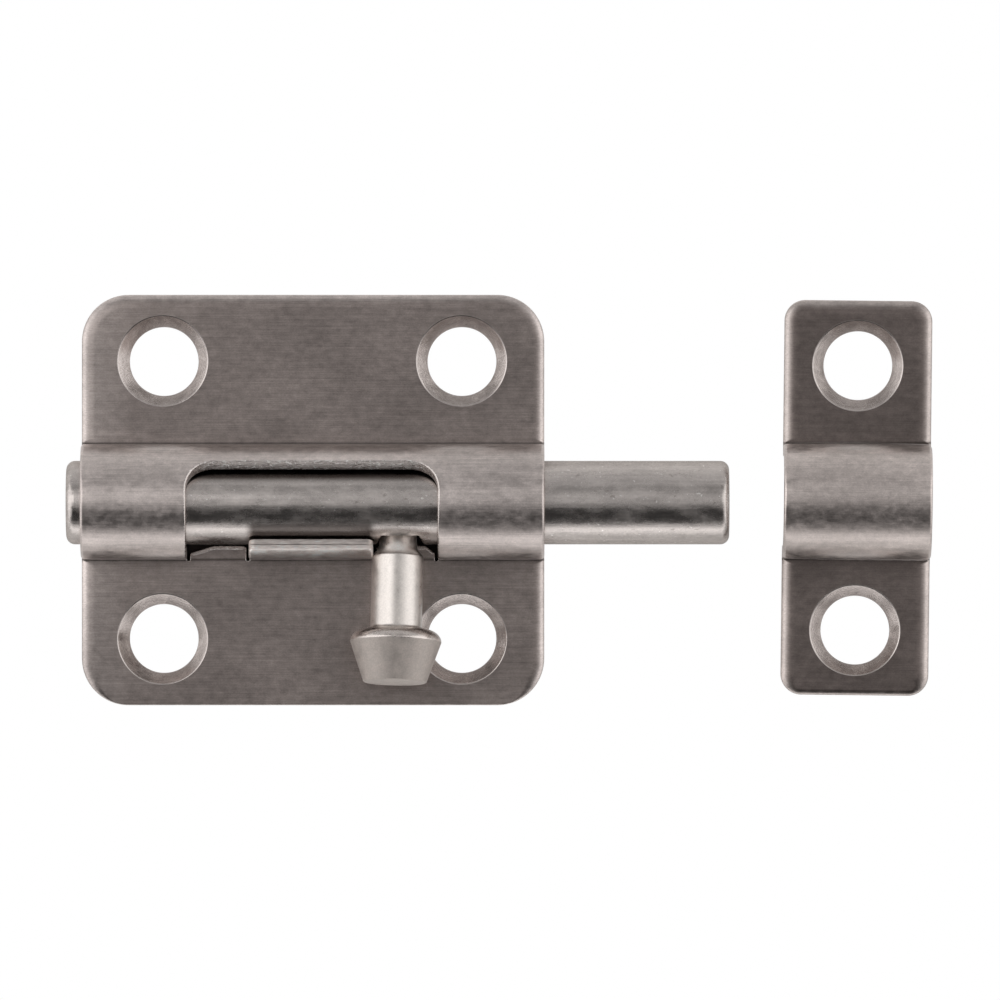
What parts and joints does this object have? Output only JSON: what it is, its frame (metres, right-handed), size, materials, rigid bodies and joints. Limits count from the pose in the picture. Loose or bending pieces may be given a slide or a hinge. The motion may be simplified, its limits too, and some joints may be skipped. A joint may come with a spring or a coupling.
{
  "type": "barrel bolt",
  "caption": "Surface barrel bolt: a pressed sheet plate whose tunnel carries a round sliding rod with a turn-down knob, and a separate arched keeper plate.",
  "frame": {"origin": "on the mounting surface, under the middle of the whole set as laid out with its keeper", "axes": "+X is the way the bolt is thrown, towards the keeper; +Y is away from the lowered knob; +Z points away from the mounting surface"},
  "size_m": [0.083, 0.0394, 0.01],
  "materials": {
    "satin_sheet": "satin stainless, brushed along the throw",
    "drawn_bar": "bright drawn stainless bar with draw lines",
    "turned_knob": "turned and tumbled stainless",
    "satin_keeper": "satin stainless, a little darker than the plate"
  },
  "bodies": {
    "plate": {"base_plate": "satin_sheet"},
    "rod": {"bolt_rod": "drawn_bar"},
    "knob": {"knob": "turned_knob"},
    "keeper": {"keeper": "satin_keeper"}
  },
  "joints": [
    {"name": "rod_slide", "type": "slide", "parent": "plate", "child": "rod", "axis": [1, 0, 0], "range_m": [0, 0.001]},
    {"name": "knob_turn", "type": "hinge", "parent": "rod", "child": "knob", "pos_m": [-0.00956, 0, 0.0042], "axis": [-1, 0, 0], "range_deg": [0, 103]},
    {"name": "keeper_spacing", "type": "slide", "parent": "plate", "child": "keeper", "axis": [1, 0, 0], "range_m": [-0.02, 0]}
  ]
}
